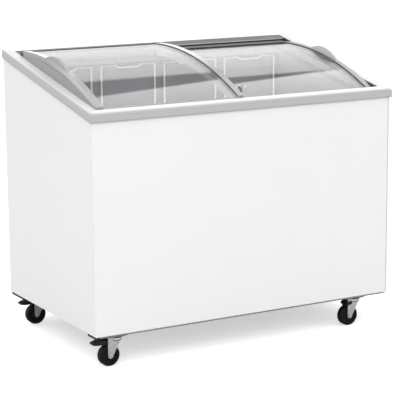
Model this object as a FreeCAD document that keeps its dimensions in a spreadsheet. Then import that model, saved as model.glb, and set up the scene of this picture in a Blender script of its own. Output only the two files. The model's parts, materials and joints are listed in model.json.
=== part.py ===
import FreeCAD, Part
import math
import os

import Sketcher
from FreeCAD import Placement, Rotation, Vector

# Glass lid chest freezer on casters. Millimetres and degrees.
# The origin is on the floor under the middle of the cabinet and the front faces -Y.
SIZES = {
    # Cabinet
    "body_width": 1010,
    "body_depth": 618,
    "floor_gap": 94,
    "deck_height": 795.4,
    "slope": 11.45,
    "panel": 1.2,
    "base_sheet": 1.6,
    "side_wall": 62,
    "front_wall": 91,
    "rear_wall": 68,
    "floor_wall": 65,
    "liner": 1.2,
    "collar": 3,
    "collar_height": 52,
    "machine_width": 318,
    "machine_height": 250,
    "machine_cover": 60,
    # Top frame and trim band
    "rim_proud": 5,
    "side_frame": 31,
    "frame_thickness": 8,
    "frame_radius": 6,
    "band_height": 17,
    # Lid tracks and the recess that they lie in
    "recess": 38,
    "front_frame": 30.8,
    "rear_frame": 26.8,
    "front_land": 3,
    "rear_land": 35,
    "front_step": 25.7,
    "rear_step": 20,
    "front_floor_width": 22.3,
    "rear_floor_width": 12,
    "lip_width": 6,
    "lip_height": 4,
    "upper_floor": 10,
    "lower_floor": 32,
    "front_drop": 3,
    "cheek": 5,
    "gutter": 2,
    "wall_drop": 1,
    # Lids
    "lid_radius": 1010,
    "lid_rise": 3.692,
    "lid_drop": 22,
    "lid_forward": 8,
    "lid_overlap": 18,
    "meeting_left": 10,
    "glass": 4,
    "profile_width": 18,
    "profile_above": 3,
    "profile_below": 15,
    "runner_cap": 2,
    "front_runner": 6,
    "upper_runner": 19,
    "lower_runner": 11,
    "end_gap": 1,
    "slide_gap": 0.3,
    "runner_gap": 0.5,
    "handle_length": 144,
    "handle_height": 18,
    "handle_width": 10,
    "handle_forward": 3,
    # Lid lock
    "lock_radius": 12,
    "lock_reach": 22,
    "lock_setback": 22,
    "lock_height": 16,
    "lock_core_radius": 7,
    "lock_core_depth": 14,
    "lock_bracket_width": 12,
    "lock_bracket_drop": 6.5,
    "key_length": 10,
    "key_width": 2.4,
    "key_depth": 7,
    "core_gap": 0.1,
    # Baskets and the rails that carry them
    "basket_end": 10.3,
    "basket_shift": 2.5,
    "basket_gap": 28.5,
    "basket_rear_gap": 4.5,
    "basket_front_gap": 50,
    "basket_side": 210,
    "basket_clear": 20,
    "basket_drop": 45,
    "basket_seat_gap": 0.3,
    "basket_bar": 7,
    "mesh_bar": 3,
    "mesh_pitch": 48,
    "notch_width": 78,
    "notch_depth": 8,
    "basket_rail_width": 65,
    "basket_rail_height": 12,
    # Cooling system
    "coil_tube": 8,
    "coil_start": 350,
    "coil_pitch": 55,
    "coil_tail": 16,
    "riser_setback": 32,
    "compressor_radius": 75,
    "compressor_height": 130,
    "compressor_round": 34,
    "compressor_plate": 3,
    "foot_height": 12,
    "foot_radius": 12,
    "foot_spacing": 130,
    "condenser_offset": 25,
    "condenser_gap": 30,
    "condenser_trim": 20,
    "condenser_depth": 50,
    "condenser_height": 190,
    "fin": 1.2,
    "fin_pitch": 17,
    "pipe_radius": 3,
    "pipe_bend": 15,
    "pipe_rise": 40,
    "pipe_run": 32,
    "drier_radius": 11,
    "drier_length": 90,
    "drier_round": 5,
    "drier_reach": 50,
    # Rear grille, thermostat and cord gland
    "grille_inset": 35,
    "grille_height": 170,
    "grille_flange": 10,
    "grille_bar": 7,
    "grille_border": 14,
    "slot_pitch": 17,
    "thermostat_spacing": 42,
    "thermostat_margin": 39.8,
    "thermostat_width": 56,
    "thermostat_depth": 30,
    "knob_radius": 20,
    "knob_depth": 12,
    "knob_gap": 1,
    "knob_shaft": 3,
    "knob_shaft_length": 10,
    "knob_mark": 16,
    "knob_mark_width": 2.4,
    "knob_mark_depth": 4,
    "gland_radius": 9,
    "gland_bore": 4,
    "gland_flange": 3,
    "gland_flange_radius": 13.5,
    "gland_rise": 18,
    # Caster rails and casters
    "rail_height": 5,
    "rail_sheet": 2,
    "rail_inset": 2,
    "front_rail_width": 58,
    "rear_rail_width": 97,
    "rear_rail_inset": 6,
    "end_cap": 10,
    "left_inset": 71,
    "right_inset": 111,
    "front_inset": 24,
    "rear_inset": 77,
    "trail": 22,
    "wheel_radius": 31.5,
    "wheel_width": 24,
    "hub_radius": 10,
    "rim_radius": 22,
    "wheel_dish": 3,
    "wheel_round": 2,
    "axle_radius": 4,
    "axle_gap": 0.1,
    "fork_gap": 27,
    "fork_leg": 2.5,
    "fork_eye": 8,
    "fork_top_width": 38,
    "fork_shoulder": 10,
    "crown": 3,
    "crown_radius": 21,
    "swivel_gap": 0.3,
    "kingpin_radius": 5,
    "plate": 2.7,
    "plate_length": 58,
    "plate_width": 40,
    "bolt_spacing": 44,
    "bolt_radius": 3,
    "bolt_head": 5,
    "bolt_head_height": 2,
    "lever_length": 57,
    "lever_width": 24,
    "lever_taper": 14,
    "lever_tip": 5,
    "lever_tail": 6,
    "lever_low": 66,
    "lever_high": 78,
    "lever_pin": 2.5,
}

BASKETS = 4
COIL_RINGS = 4
TUBE_LEVELS = 4
TUBE_ROWS = 2

doc = FreeCAD.newDocument("glass_lid_chest_freezer")
sheet = doc.addObject("Spreadsheet::Sheet", "sizes")
for row, (alias, value) in enumerate(SIZES.items(), start=1):
    sheet.set(f"A{row}", alias)
    sheet.set(f"B{row}", str(value))
    sheet.setAlias(f"B{row}", alias)
doc.recompute()


class Size:
    """A length or angle that carries both its value and its formula."""

    def __init__(self, value, text):
        self.value = value
        self.text = text

    def __add__(self, other):
        other = as_size(other)
        return Size(self.value + other.value, f"({self.text} + {other.text})")

    def __sub__(self, other):
        other = as_size(other)
        return Size(self.value - other.value, f"({self.text} - {other.text})")

    def __mul__(self, other):
        other = as_size(other)
        return Size(self.value * other.value, f"({self.text} * {other.text})")

    def __truediv__(self, other):
        other = as_size(other)
        return Size(self.value / other.value, f"({self.text} / {other.text})")

    def __neg__(self):
        return Size(-self.value, f"(0 - {self.text})")

    def __radd__(self, other):
        return as_size(other) + self

    def __rsub__(self, other):
        return as_size(other) - self

    def __rmul__(self, other):
        return as_size(other) * self


class Sheet:
    """Reads a driving size from its cell by name."""

    def __getattr__(self, alias):
        return Size(float(sheet.get(alias)), f"sizes.{alias}")


def as_size(number):
    if isinstance(number, Size):
        return number
    return Size(float(number), f"({number})")


def sine(angle):
    return Size(math.sin(math.radians(angle.value)), f"sin({angle.text})")


def cosine(angle):
    return Size(math.cos(math.radians(angle.value)), f"cos({angle.text})")


def root(size):
    return Size(math.sqrt(size.value), f"sqrt({size.text})")


def bind(thing, bindings):
    for name, size in bindings.items():
        thing.setExpression(name, as_size(size).text)


def place(thing, x, y, z):
    bind(thing, {"Placement.Base.x": x, "Placement.Base.y": y, "Placement.Base.z": z})


def deck_point(x, along, above):
    """Row-frame place of a point on the sloping deck: along runs up the slope, above is square to it."""
    rise, run = sine(d.slope), cosine(d.slope)
    return x, along * run - above * rise, d.deck_height + along * rise + above * run


def place_on_deck(thing, x, along, above):
    thing.Placement = Placement(Vector(), Rotation(Vector(1, 0, 0), d.slope.value))
    bind(thing, {"Placement.Rotation.Angle": d.slope})
    place(thing, *deck_point(as_size(x), as_size(along), as_size(above)))


def between(name, low, high, on_deck=False):
    """A box from its low corner to its high corner, upright or in the sloping deck's frame."""
    made = doc.addObject("Part::Box", name)
    spans = [as_size(top) - as_size(start) for start, top in zip(low, high)]
    bind(made, dict(zip(("Length", "Width", "Height"), spans)))
    if on_deck:
        place_on_deck(made, *low)
    else:
        place(made, *low)
    return made


TURNS = {
    "x": Rotation(Vector(0, 1, 0), 90),
    "y": Rotation(Vector(1, 0, 0), -90),
    "z": Rotation(),
}


def rod(name, start, axis, radius, length):
    """A cylinder that runs from its start along one of the row's axes."""
    made = doc.addObject("Part::Cylinder", name)
    made.Placement = Placement(Vector(), TURNS[axis])
    bind(made, {"Radius": radius, "Height": length})
    place(made, *start)
    return made


def deck_rod(name, x, along, above, radius, length):
    """A cylinder that stands square to the sloping deck."""
    made = doc.addObject("Part::Cylinder", name)
    bind(made, {"Radius": radius, "Height": length})
    place_on_deck(made, x, along, above)
    return made


def cut(name, base, *tools):
    for step, tool in enumerate(tools):
        made = doc.addObject("Part::Cut", f"{name}_cut{step}")
        made.Base = base
        made.Tool = tool
        base = made
    return base


def fuse(name, *shapes):
    made = doc.addObject("Part::MultiFuse", f"{name}_fuse")
    made.Shapes = list(shapes)
    return made


def common(name, *shapes):
    made = doc.addObject("Part::MultiCommon", f"{name}_common")
    made.Shapes = list(shapes)
    return made


def group(name, *shapes):
    made = doc.addObject("Part::Compound", f"{name}_group")
    made.Links = list(shapes)
    return made


def plane_of(body, role):
    return next(part for part in body.Origin.OriginFeatures if part.Role == role)


def outline(body, name, role, points):
    """A closed sketch outline whose corners are bound to sizes."""
    sketch = body.newObject("Sketcher::SketchObject", name)
    sketch.AttachmentSupport = (plane_of(body, role), [""])
    sketch.MapMode = "FlatFace"
    points = [(as_size(across), as_size(up)) for across, up in points]
    corners = [Vector(across.value, up.value, 0) for across, up in points]
    for index, corner in enumerate(corners):
        following = corners[(index + 1) % len(corners)]
        sketch.addGeometry(Part.LineSegment(corner, following))
    for index in range(len(corners)):
        sketch.addConstraint(Sketcher.Constraint("Coincident", index, 2, (index + 1) % len(corners), 1))
    for index, (across, up) in enumerate(points):
        for kind, size in (("DistanceX", across), ("DistanceY", up)):
            number = sketch.addConstraint(Sketcher.Constraint(kind, -1, 1, index, 1, size.value))
            sketch.setExpression(f"Constraints[{number}]", size.text)
    return sketch


def padded(name, role, points, length, midplane=False):
    """A body made by padding one outline."""
    body = doc.addObject("PartDesign::Body", name)
    sketch = outline(body, f"{name}_outline", role, points)
    pad = body.newObject("PartDesign::Pad", f"{name}_pad")
    pad.Profile = sketch
    pad.Midplane = midplane
    bind(pad, {"Length": length})
    return body


def turned(name, points):
    """A body made by turning an outline of radius and width about the Y axis."""
    body = doc.addObject("PartDesign::Body", name)
    sketch = outline(body, f"{name}_outline", "XY_Plane", points)
    turn = body.newObject("PartDesign::Revolution", f"{name}_turn")
    turn.Profile = sketch
    turn.ReferenceAxis = (sketch, ["V_Axis"])
    turn.Angle = 360
    return body


nodes = []


def node(label, made):
    made.Label = label
    nodes.append(made)
    return made


d = Sheet()

# Places that several pieces share
side = d.body_width / 2
rear = (d.body_depth + d.rim_proud) / 2
front = rear - d.body_depth
bottom = d.floor_gap
roof = d.deck_height + d.body_depth
frame_side = side + d.rim_proud - d.side_frame
deck_edge = rear / cosine(d.slope)
frame_front = d.front_frame - deck_edge
frame_rear = deck_edge - d.rear_frame
upper_front = frame_front + d.front_land
upper_rear = frame_rear - d.rear_land
lower_front = upper_front + d.front_step
lower_rear = upper_rear - d.rear_step
opening_front = lower_front + d.front_floor_width + d.lip_width
opening_rear = lower_rear - d.rear_floor_width - d.lip_width
liner_side = side - d.side_wall
liner_front = front + d.front_wall
liner_rear = rear - d.rear_wall
liner_floor = bottom + d.floor_wall
machine_left = side - d.machine_width
machine_top = bottom + d.machine_height
hump_left = machine_left - d.machine_cover
hump_top = machine_top + d.machine_cover
basket_base = hump_top + d.basket_clear
pan_top = bottom + d.base_sheet
inner_side = side - d.panel
inner_front = front + d.panel
inner_rear = rear - d.panel
track_end = frame_side - d.cheek
lid_span = upper_front + d.runner_gap + d.lid_forward
lid_crown = d.lid_rise + d.lid_radius - root(d.lid_radius * d.lid_radius - lid_span * lid_span)


def deck_layer(name, low, high):
    """A layer of the space over the cabinet, between two levels square to the deck."""
    return between(name, (-d.body_width, -d.body_depth, low), (d.body_width, d.body_depth, high), True)


def above_deck(name, level):
    """Everything higher than a level that is measured square to the deck."""
    return deck_layer(name, level, roof)


# Cabinet skin
def make_panels():
    under_frame = -d.frame_thickness
    grille_low, grille_high = grille_corners()
    knob_x, knob_z = thermostat_centre()
    gland_x, gland_z = gland_centre()
    plates = {
        "front_panel": ((-side, front, bottom), (side, inner_front, roof)),
        "rear_panel": ((-side, inner_rear, bottom), (side, rear, roof)),
        "left_panel": ((-side, inner_front, bottom), (-inner_side, inner_rear, roof)),
        "right_panel": ((inner_side, inner_front, bottom), (side, inner_rear, roof)),
    }
    for label, (low, high) in plates.items():
        tools = [above_deck(f"{label}_above", under_frame)]
        if label == "rear_panel":
            low_x, low_z = grille_low
            high_x, high_z = grille_high
            tools.append(between("grille_hole", (low_x, front, low_z), (high_x, roof, high_z)))
            tools.append(rod("knob_hole", (knob_x, 0, knob_z), "y", d.knob_radius + d.knob_gap, d.body_depth))
            tools.append(rod("gland_hole", (gland_x, 0, gland_z), "y", d.gland_radius, d.body_depth))
        node(label, cut(label, between(f"{label}_sheet", low, high), *tools))
    node("base_pan", between("pan", (-inner_side, inner_front, bottom), (inner_side, inner_rear, pan_top)))


def grille_corners():
    low = pan_top + (d.machine_height - d.grille_height) / 2
    right = inner_side - d.thermostat_margin - d.thermostat_spacing - d.grille_flange
    return (machine_left + d.grille_inset, low), (right, low + d.grille_height)


def thermostat_centre():
    high_z = grille_corners()[1][1]
    return inner_side - d.thermostat_margin, high_z - d.thermostat_width / 2


def gland_centre():
    low_z = grille_corners()[0][1]
    return thermostat_centre()[0], low_z + d.gland_rise


# Foam, liner and collar
def liner_space(name, grow):
    """The chest's inside, with the step over the machine, grown outward by a thickness."""
    deep = between(
        f"{name}_deep",
        (-liner_side - grow, liner_front - grow, liner_floor - grow),
        (hump_left + grow, liner_rear + grow, roof),
    )
    shallow = between(
        f"{name}_shallow",
        (-liner_side, liner_front - grow, hump_top - grow),
        (liner_side + grow, liner_rear + grow, roof),
    )
    return fuse(name, deep, shallow)


def coil_rings(name):
    rings = []
    for index in range(COIL_RINGS):
        low = bottom + d.coil_start + index * d.coil_pitch
        inner = d.liner
        outer = d.liner + d.coil_tube
        ring = cut(
            f"{name}{index}",
            between(
                f"{name}{index}_outer",
                (-liner_side - outer, liner_front - outer, low),
                (liner_side + outer, liner_rear + outer, low + d.coil_tube),
            ),
            between(
                f"{name}{index}_inner",
                (-liner_side - inner, liner_front - inner, low - d.coil_tube),
                (liner_side + inner, liner_rear + inner, low + d.coil_tube * 2),
            ),
        )
        rings.append(ring)
    riser_side = liner_side + d.liner
    riser_near = liner_rear - d.riser_setback
    riser_top = bottom + d.coil_start + (COIL_RINGS - 1) * d.coil_pitch
    riser = between(
        f"{name}_riser",
        (riser_side, riser_near, machine_top - d.coil_tail),
        (riser_side + d.coil_tube, riser_near + d.coil_tube, riser_top),
    )
    return fuse(name, riser, *rings)


def make_tub():
    block = between("foam_block", (-inner_side, inner_front, pan_top), (inner_side, inner_rear, roof))
    recess_low = (-frame_side, frame_front, -d.recess)
    recess_high = (frame_side, frame_rear, d.body_depth)
    node(
        "insulation",
        cut(
            "insulation",
            block,
            above_deck("foam_above", -d.frame_thickness),
            between("foam_recess", recess_low, recess_high, True),
            liner_space("foam_space", d.liner),
            between(
                "machine_space",
                (machine_left, inner_front, pan_top),
                (inner_side, inner_rear, machine_top),
            ),
            coil_rings("foam_coil"),
        ),
    )
    node(
        "inner_liner",
        cut(
            "inner_liner",
            liner_space("liner_outside", d.liner),
            liner_space("liner_inside", 0),
            above_deck("liner_above", -d.recess),
        ),
    )
    node("evaporator_coil", coil_rings("coil"))
    node(
        "breaker_collar",
        common(
            "breaker_collar",
            cut(
                "collar_ring",
                between(
                    "collar_outside",
                    (-liner_side, liner_front, liner_floor),
                    (liner_side, liner_rear, roof),
                ),
                between(
                    "collar_inside",
                    (-liner_side + d.collar, liner_front + d.collar, bottom),
                    (liner_side - d.collar, liner_rear - d.collar, roof + d.collar),
                ),
            ),
            deck_layer("collar_layer", -d.recess - d.collar_height, -d.recess),
        ),
    )


# Top frame and trim band
def frame_block(name):
    proud = d.rim_proud
    return between(name, (-side - proud, front - proud, bottom), (side + proud, rear, roof))


def make_frame():
    ring = common(
        "frame_ring",
        cut(
            "frame_open",
            frame_block("frame_outside"),
            between(
                "frame_inside",
                (-frame_side, frame_front, -d.recess),
                (frame_side, frame_rear, d.body_depth),
                True,
            ),
        ),
        deck_layer("frame_layer", -d.frame_thickness, 0),
    )
    doc.recompute()
    rounded = doc.addObject("Part::Fillet", "frame_rounded")
    rounded.Base = ring
    rounded.Edges = [(index, d.frame_radius.value, d.frame_radius.value) for index in outer_top_edges(ring)]
    node("top_frame", rounded)
    band = common(
        "band",
        cut(
            "band_open",
            frame_block("band_outside"),
            between("band_inside", (-side, front, 0), (side, rear + d.rim_proud, roof + d.rim_proud)),
        ),
        deck_layer("band_layer", -d.frame_thickness - d.band_height, -d.frame_thickness),
    )
    node("trim_band", band)


def outer_top_edges(ring):
    """Numbers of the edges along the frame's top at its front and sides."""
    tilt = math.radians(d.slope.value)
    near = 0.01
    limits = (side + d.rim_proud).value, (front - d.rim_proud).value
    found = []
    for number, edge in enumerate(ring.Shape.Edges, start=1):
        ends = [vertex.Point for vertex in edge.Vertexes]
        on_top = all(abs(end.z - d.deck_height.value - end.y * math.tan(tilt)) < near for end in ends)
        on_left = all(abs(end.x + limits[0]) < near for end in ends)
        on_right = all(abs(end.x - limits[0]) < near for end in ends)
        on_front = all(abs(end.y - limits[1]) < near for end in ends)
        if on_top and (on_left or on_right or on_front):
            found.append(number)
    return found


# Lid tracks, side walls and gutters
def track_outline(outside, upper, lower, lip, inside, top, drop):
    """Section of a track: a land at its outside, a step for each lid and a lip at its inside."""
    upper_low = -d.upper_floor - drop
    lower_low = -d.lower_floor - drop
    return [
        (outside, -d.recess),
        (outside, top),
        (upper, top),
        (upper, upper_low),
        (lower, upper_low),
        (lower, lower_low),
        (lip, lower_low),
        (lip, lower_low + d.lip_height),
        (inside, lower_low + d.lip_height),
        (inside, -d.recess),
    ]


def make_tracks():
    length = track_end * 2
    rear_lip = opening_rear + d.lip_width
    front_lip = opening_front - d.lip_width
    sections = {
        "rear_track": track_outline(
            frame_rear, upper_rear, lower_rear, rear_lip, opening_rear, as_size(0), as_size(0)
        ),
        "front_track": track_outline(
            frame_front, upper_front, lower_front, front_lip, opening_front, -d.wall_drop, d.front_drop
        ),
    }
    for label, points in sections.items():
        track = padded(f"{label}_body", "YZ_Plane", points, length)
        place_on_deck(track, -track_end, 0, 0)
        node(label, track)


def make_side_walls():
    for label, start in (("left_cheek", -frame_side), ("right_side_wall", track_end)):
        low = (start, frame_front, -d.recess)
        wall = between(f"{label}_low", low, (start + d.cheek, frame_rear, -d.wall_drop), True)
        if label == "left_cheek":
            wall = fuse(label, wall, cheek_crown(start))
        node(label, wall)
    for label, start, end in (
        ("left_gutter", -track_end, -liner_side),
        ("right_gutter", liner_side, track_end),
    ):
        high = (end, opening_rear, d.gutter - d.recess)
        node(label, between(label, (start, opening_front, -d.recess), high, True))


def cheek_crown(start):
    """The lens that fills the space between the deck and the upper lid's end."""
    under = d.profile_below + d.slide_gap
    return common(
        "crown",
        lid_drum("crown_drum", start, d.cheek, lid_crown, -under),
        between(
            "crown_limit",
            (start, lower_front, -d.recess),
            (start + d.cheek, lower_rear, lid_crown * 2),
            True,
        ),
    )


# Sliding lids
def lid_drum(name, start, width, rise, grow):
    """A solid drum along X whose top is the lid's arch, grown outward by a thickness."""
    axis_above = rise - d.lid_radius
    made = doc.addObject("Part::Cylinder", name)
    made.Placement = Placement(Vector(), TURNS["x"])
    bind(made, {"Radius": d.lid_radius + grow, "Height": width})
    place(made, *deck_point(as_size(start), -d.lid_forward, axis_above))
    return made


def arch(name, start, width, rise, outer, inner, reach):
    """A curved strip of the lid between two drums, cut square at its front and rear."""
    shell = cut(
        name,
        lid_drum(f"{name}_outer", start, width, rise, outer),
        lid_drum(f"{name}_inner", start, width, rise, -inner),
    )
    limit = between(
        f"{name}_limit",
        (start, reach[0], -d.recess),
        (start + width, reach[1], lid_crown * 2),
        True,
    )
    return common(name, shell, limit)


def runner(name, start, width, rise, grow, edges, low):
    """The edge strip that carries the glass and slides in its track."""
    high = (start + width, edges[1], lid_crown * 2)
    return common(
        name,
        lid_drum(f"{name}_drum", start, width, rise, grow),
        between(f"{name}_bar", (start, edges[0], low), high, True),
    )


def handle(name, start, rise):
    """A half-moon fin that stands on the lid's end profile."""
    half = d.handle_length / 2
    fin_radius = (half * half + d.handle_height * d.handle_height) / (d.handle_height * 2)
    top = arch_height(rise, -d.handle_forward) + d.profile_above
    fin = doc.addObject("Part::Cylinder", f"{name}_fin")
    fin.Placement = Placement(Vector(), TURNS["x"])
    bind(fin, {"Radius": fin_radius, "Height": d.handle_width})
    place(fin, *deck_point(start, -d.handle_forward, top + d.handle_height - fin_radius))
    drum = lid_drum(f"{name}_seat", start - d.handle_width, d.handle_width * 3, rise, d.profile_above)
    return cut(name, fin, drum)


def arch_height(rise, along):
    """Height of the lid's arch over the deck at a place along the slope."""
    offset = along + d.lid_forward
    return rise - d.lid_radius + root(d.lid_radius * d.lid_radius - offset * offset)


def make_lid(prefix, span, rise, walls, floor, rear_width, handle_on_left):
    start, width = span[0], span[1] - span[0]
    front_edge = walls[0] + d.runner_gap
    rear_edge = walls[1] - d.runner_gap
    reach = front_edge, rear_edge - rear_width
    low = d.slide_gap - floor
    front_edges = front_edge, front_edge + d.front_runner
    front_low = low - d.front_drop
    front_runner = runner(f"{prefix}_front_runner", start, width, rise, -d.glass, front_edges, front_low)
    front_seat = runner(f"{prefix}_front_seat", start, width, rise, -d.glass, front_edges, -d.recess)
    rear_runner = runner(
        f"{prefix}_rear_runner", start, width, rise, d.runner_cap, (reach[1], rear_edge), low
    )
    ends = {"left": start, "right": span[1] - d.profile_width}
    outer, inner = ("left", "right") if handle_on_left else ("right", "left")
    node(
        f"{prefix}_glass",
        arch(
            f"{prefix}_glass",
            start + d.profile_width,
            width - d.profile_width * 2,
            rise,
            as_size(0),
            d.glass,
            reach,
        ),
    )
    for label, end in (("outer_profile", ends[outer]), ("inner_profile", ends[inner])):
        strip = arch(
            f"{prefix}_{label}",
            end,
            d.profile_width,
            rise,
            d.profile_above,
            d.profile_below,
            reach,
        )
        node(f"{prefix}_{label}", cut(f"{prefix}_{label}_seat", strip, front_seat))
    node(f"{prefix}_rear_runner", rear_runner)
    node(f"{prefix}_front_runner", front_runner)
    grip_start = start if handle_on_left else span[1] - d.handle_width
    node(f"{prefix}_handle", handle(f"{prefix}_handle", grip_start, rise))


def upper_lid_edge():
    return d.lid_overlap / 2 - d.meeting_left


def make_lids():
    far_end = track_end - d.end_gap
    lower_rise = lid_crown - d.lid_drop
    upper = -far_end, upper_lid_edge()
    lower = upper_lid_edge() - d.lid_overlap, far_end
    upper_walls, lower_walls = (upper_front, upper_rear), (lower_front, lower_rear)
    make_lid("left_lid", upper, lid_crown, upper_walls, d.upper_floor, d.upper_runner, True)
    make_lid("right_lid", lower, lower_rise, lower_walls, d.lower_floor, d.lower_runner, False)


def make_lock():
    """A barrel lock on the upper lid's inner profile, with a core that turns in it."""
    edge = upper_lid_edge()
    along = lower_front + d.lock_setback
    top = arch_height(lid_crown, along) + d.profile_above
    low = top - d.lock_height
    centre = edge + d.lock_reach
    barrel = deck_rod("lock_barrel", centre, along, low, d.lock_radius, d.lock_height)
    bracket = between(
        "lock_bracket",
        (edge, along - d.lock_bracket_width / 2, low),
        (centre, along + d.lock_bracket_width / 2, top - d.lock_bracket_drop),
        True,
    )
    core_low = top - d.lock_core_depth
    bore_radius = d.lock_core_radius + d.core_gap
    bore = deck_rod("lock_bore", centre, along, core_low - d.core_gap, bore_radius, d.lock_height)
    node("lock_body", cut("lock_body", fuse("lock_outside", barrel, bracket), bore))
    plug = deck_rod("lock_plug", centre, along, core_low, d.lock_core_radius, d.lock_core_depth)
    slot = between(
        "lock_key_slot",
        (centre - d.key_length / 2, along - d.key_width / 2, top - d.key_depth),
        (centre + d.key_length / 2, along + d.key_width / 2, top + d.key_depth),
        True,
    )
    node("lock_core", cut("lock_core", plug, slot))


# Wire baskets, each five flat grids
def grid(corners, holes):
    """A flat face with rectangular gaps."""
    outer = Part.makePolygon(corners + corners[:1])
    gaps = [Part.makePolygon(hole + hole[:1]) for hole in holes]
    return Part.makeFace([outer] + gaps, "Part::FaceMakerBullseye")


def cells(low, high, pitch):
    """Edges of the gaps along one side, evenly shared between its border bars."""
    count = max(1, round((high - low) / pitch))
    step = (high - low + d.mesh_bar.value) / count
    return [(low + index * step, low + (index + 1) * step - d.mesh_bar.value) for index in range(count)]


def basket_pitch():
    return (liner_side * 2 + d.basket_gap - d.basket_end * 2) / BASKETS


def basket_shape(centre):
    bar = d.basket_bar.value
    half = (basket_pitch() - d.basket_gap).value / 2
    low_y = (liner_front + d.basket_front_gap).value
    high_y = (liner_rear - d.basket_rear_gap).value
    low_z = basket_base.value
    pitch = d.mesh_pitch.value
    left, right = centre - half, centre + half
    across = cells(left + bar, right - bar, pitch)
    along = cells(low_y + bar, high_y - bar, pitch)
    base_gaps = [
        [Vector(a, b, low_z), Vector(c, b, low_z), Vector(c, e, low_z), Vector(a, e, low_z)]
        for a, c in across
        for b, e in along
    ]
    base_corners = [
        Vector(left, low_y, low_z),
        Vector(right, low_y, low_z),
        Vector(right, high_y, low_z),
        Vector(left, high_y, low_z),
    ]
    solids = [grid(base_corners, base_gaps).extrude(Vector(0, 0, bar))]
    wall_low = low_z + bar
    side_top = low_z + d.basket_side.value
    rows = cells(wall_low + bar, side_top - bar, pitch)

    for x in (left, right - bar):
        corners = [
            Vector(x, low_y + bar, wall_low),
            Vector(x, high_y - bar, wall_low),
            Vector(x, high_y - bar, side_top),
            Vector(x, low_y + bar, side_top),
        ]
        gaps = [
            [Vector(x, b, f), Vector(x, e, f), Vector(x, e, g), Vector(x, b, g)]
            for b, e in cells(low_y + bar * 2, high_y - bar * 2, pitch)
            for f, g in rows
        ]
        solids.append(grid(corners, gaps).extrude(Vector(bar, 0, 0)))

    def end_wall(y, corners, gap_rows):
        gaps = [
            [Vector(a, y, f), Vector(c, y, f), Vector(c, y, g), Vector(a, y, g)] for a, c, f, g in gap_rows
        ]
        return grid([Vector(x, y, z) for x, z in corners], gaps).extrude(Vector(0, bar, 0))

    mesh_gaps = [(a, c, f, g) for a, c in across for f, g in rows]
    foot = [(left, wall_low), (right, wall_low)]
    solids.append(end_wall(low_y, foot + [(right, side_top), (left, side_top)], mesh_gaps))

    tilt = math.radians(d.slope.value)
    rear_y = high_y - bar
    height = d.deck_height.value + rear_y * math.tan(tilt) - d.basket_drop.value / math.cos(tilt)
    dip = height - d.notch_depth.value
    notch = d.notch_width.value / 2
    ring = [
        (right, height),
        (centre + notch, height),
        (centre + notch, dip),
        (centre - notch, dip),
        (centre - notch, height),
        (left, height),
    ]
    window = (left + bar, right - bar, side_top, dip - bar)
    solids.append(end_wall(rear_y, foot + ring, mesh_gaps + [window]))
    return Part.makeCompound(solids)


def make_baskets():
    for index in range(BASKETS):
        basket = doc.addObject("Part::Feature", f"basket{index + 1}")
        centre = basket_pitch() * (index - (BASKETS - 1) / 2) - d.basket_shift
        basket.Shape = basket_shape(centre.value)
        node(f"basket_{index + 1}", basket)
    top = basket_base - d.basket_seat_gap
    low = top - d.basket_rail_height
    rails = [
        between(
            "basket_rail_front",
            (-liner_side, liner_front, low),
            (liner_side, liner_front + d.basket_rail_width, top),
        ),
        between(
            "basket_rail_rear",
            (-liner_side, liner_rear - d.basket_rail_width, low),
            (liner_side, liner_rear, top),
        ),
    ]
    node("basket_rails", group("basket_rails", *rails))


# Cooling machine in its compartment
def compressor_centre():
    return (machine_left + inner_side) / 2, front + d.front_wall + d.compressor_radius


def make_compressor():
    x, y = compressor_centre()
    plate_low = pan_top + d.foot_height
    shell_low = plate_low + d.compressor_plate
    shell = rod("compressor_shell", (x, y, shell_low), "z", d.compressor_radius, d.compressor_height)
    doc.recompute()
    dome = doc.addObject("Part::Fillet", "compressor_dome")
    dome.Base = shell
    radius = d.compressor_round.value
    rims = [number for number, edge in enumerate(shell.Shape.Edges, start=1) if edge.isClosed()]
    dome.Edges = [(number, radius, radius) for number in rims]
    reach = d.foot_spacing / 2 + d.foot_radius
    plate = between(
        "compressor_plate_sheet",
        (x - reach, y - reach, plate_low),
        (x + reach, y + reach, shell_low),
    )
    node("compressor", fuse("compressor", dome, plate))
    feet = []
    for across in (-1, 1):
        for along in (-1, 1):
            foot_x = x + d.foot_spacing / 2 * across
            foot_y = y + d.foot_spacing / 2 * along
            name = f"foot_{len(feet) + 1}"
            feet.append(rod(name, (foot_x, foot_y, pan_top), "z", d.foot_radius, d.foot_height))
    node("compressor_feet", group("compressor_feet", *feet))


def condenser_corner():
    low_x = grille_corners()[0][0]
    return low_x + d.condenser_offset, inner_rear - d.condenser_gap - d.condenser_depth


def fin_count():
    (low_x, _), (high_x, _) = grille_corners()
    return round((high_x - low_x - d.condenser_trim).value / d.fin_pitch.value) + 1


def condenser_span():
    return (fin_count() - 1) * d.fin_pitch + d.fin


def tube_spot(level, row):
    """Depth and height of a condenser tube, evenly shared over the fins."""
    near = condenser_corner()[1]
    tube_y = near + d.condenser_depth * (2 * row + 1) / (2 * TUBE_ROWS)
    return tube_y, pan_top + d.condenser_height * (2 * level + 1) / (2 * TUBE_LEVELS)


def make_condenser():
    left, near = condenser_corner()
    far = near + d.condenser_depth
    top = pan_top + d.condenser_height
    parts = []
    for index in range(fin_count()):
        fin_x = left + index * d.fin_pitch
        parts.append(between(f"fin_{index}", (fin_x, near, pan_top), (fin_x + d.fin, far, top)))
    span = condenser_span()
    for level in range(TUBE_LEVELS):
        for row in range(TUBE_ROWS):
            tube_y, tube_z = tube_spot(level, row)
            name = f"condenser_tube_{level}_{row}"
            parts.append(rod(name, (left, tube_y, tube_z), "x", d.pipe_radius, span))
    node("condenser", fuse("condenser", *parts))


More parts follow.
